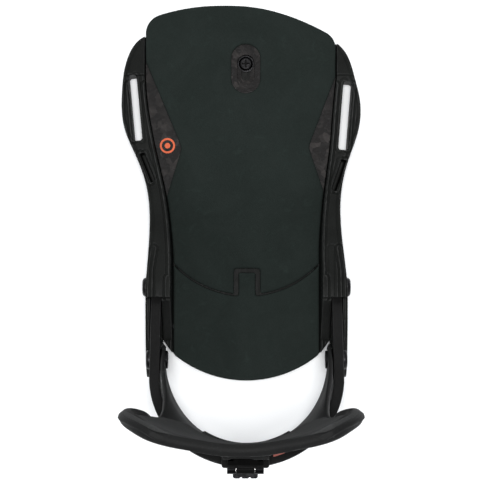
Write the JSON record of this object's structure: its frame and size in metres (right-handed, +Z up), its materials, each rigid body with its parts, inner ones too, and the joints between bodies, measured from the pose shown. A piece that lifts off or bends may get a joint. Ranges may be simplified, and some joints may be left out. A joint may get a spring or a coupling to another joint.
{
  "type": "touring snowboard binding",
  "caption": "Touring snowboard binding without straps: moulded base with foam footbed, sliding toe ramp, heel hoop, folding highback with lean adjuster, and spring-pin toe pivot under the toe.",
  "frame": {"origin": "on the board's surface, under the middle of the binding's overall box", "axes": "+Y to the toe, +Z up from the board, +X to the wearer's right"},
  "size_m": [0.1543, 0.2942, 0.217],
  "materials": {
    "base_plastic": "satin moulded, fine grain",
    "hoop_plastic": "satin moulded",
    "highback_plastic": "matte, fine light speckle",
    "liner_foam": "matte foam",
    "dark_foam": "matte foam",
    "footbed_foam": "matte foam",
    "ramp_composite": "marbled chopped-fibre composite under clear resin",
    "bushing_rubber": "matte",
    "rail_metal": "dark anodised",
    "housing_metal": "dark anodised",
    "screw_steel": "blackened steel",
    "bolt_steel": "black oxide",
    "pin_steel": "polished",
    "adjuster_plastic": "satin",
    "rack_plastic": "matte",
    "lever_metal": "dark anodised",
    "accent_orange": "printed",
    "grip_rubber": "matte"
  },
  "bodies": {
    "base": {"baseplate": "base_plastic", "base_bushings": "bushing_rubber", "ride_rail_left": "rail_metal", "ride_rail_right": "rail_metal", "rail_screws": "screw_steel", "heel_pad": "footbed_foam", "ramp_screw": "screw_steel", "ramp_washer": "screw_steel", "ramp_nut": "screw_steel", "pivot_housing": "housing_metal", "housing_screws": "screw_steel", "pin_spring": "pin_steel", "ankle_bolts": "bolt_steel", "ankle_nuts": "screw_steel", "hoop_bolts": "bolt_steel", "hoop_nuts": "screw_steel"},
    "ramp": {"toe_ramp": "ramp_composite", "toe_pad": "footbed_foam", "index_mark": "accent_orange"},
    "hoop": {"heel_hoop": "hoop_plastic", "hoop_mark": "accent_orange", "pivot_bolts": "bolt_steel", "pivot_bushes": "rack_plastic", "pivot_nuts": "screw_steel"},
    "highback": {"highback_shell": "highback_plastic", "upper_pad": "liner_foam", "lower_pad": "dark_foam", "lean_rack": "rack_plastic", "rack_screws": "screw_steel"},
    "adjuster_block": {"lean_block": "adjuster_plastic", "lever_pin": "pin_steel"},
    "adjuster_lever": {"lean_lever": "lever_metal"},
    "release": {"release_plate": "pin_steel", "release_grip": "grip_rubber"},
    "pin_left": {"pivot_pin_left": "pin_steel"},
    "pin_right": {"pivot_pin_right": "pin_steel"}
  },
  "joints": [
    {"name": "hoop_slide", "type": "slide", "parent": "base", "child": "hoop", "axis": [0, 1, 0], "range_m": [-0.006, 0.006]},
    {"name": "highback_fold", "type": "hinge", "parent": "hoop", "child": "highback", "pos_m": [0.0035, -0.0792, 0.062], "axis": [-1, 0, 0], "range_deg": [0, 80]},
    {"name": "lean_slide", "type": "slide", "parent": "highback", "child": "adjuster_block", "axis": [0, 0.0965, 0.9953], "range_m": [0, 0.018]},
    {"name": "lever_open", "type": "hinge", "parent": "adjuster_block", "child": "adjuster_lever", "pos_m": [0.0026, -0.1392, 0.13135], "axis": [-1, 0, 0], "range_deg": [0, 105]},
    {"name": "ramp_slide", "type": "slide", "parent": "base", "child": "ramp", "axis": [0, 1, 0], "range_m": [0, 0.008]},
    {"name": "release_pull", "type": "slide", "parent": "base", "child": "release", "axis": [0, 1, 0], "range_m": [0, 0.008], "stiffness_N_per_m": 1200, "springref_m": -0.004},
    {"name": "pin_left_slide", "type": "slide", "parent": "base", "child": "pin_left", "axis": [1, 0, 0], "range_m": [0, 0.007], "deforming": ["pin_spring"]},
    {"name": "pin_right_slide", "type": "slide", "parent": "base", "child": "pin_right", "axis": [-1, 0, 0], "range_m": [0, 0.007]}
  ],
  "couplings": [
    {"joint": "pin_left_slide", "follows": "release_pull", "ratio": 0.875},
    {"joint": "pin_right_slide", "follows": "release_pull", "ratio": 0.875}
  ]
}
